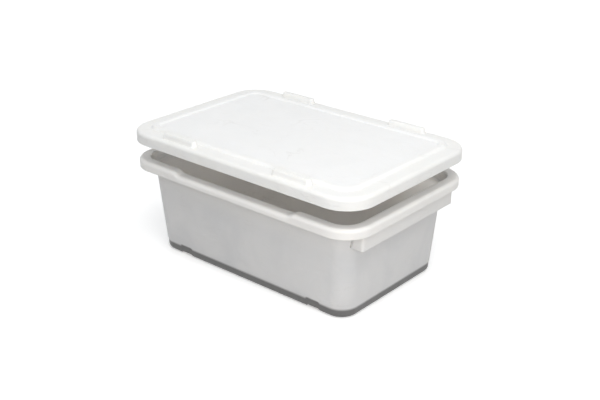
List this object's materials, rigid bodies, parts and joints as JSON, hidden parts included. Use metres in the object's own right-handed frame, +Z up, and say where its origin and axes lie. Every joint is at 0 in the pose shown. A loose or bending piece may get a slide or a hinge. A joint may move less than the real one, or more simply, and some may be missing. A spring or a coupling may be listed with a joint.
{
  "type": "produce lug box",
  "caption": "Drafted rectangular plastic tub with a wide dipped rim flange, a notched base runner and end grip bars, under a lift-off beaded lid.",
  "frame": {"origin": "middle of the base, on the surface that the box stands on", "axes": "+X along the long side, +Y across, +Z up"},
  "size_m": [0.6562, 0.4302, 0.31],
  "materials": {
    "tub_plastic": "white moulded polyethylene, satin, faintly translucent",
    "lid_plastic": "white moulded polyethylene, satin, faintly translucent"
  },
  "bodies": {
    "tub": {"tub": "tub_plastic"},
    "lid": {"lid": "lid_plastic"}
  },
  "joints": [
    {"name": "lid_lift", "type": "slide", "parent": "tub", "child": "lid", "axis": [0, 0, 1], "range_m": [-0.0652, 0.12]}
  ]
}
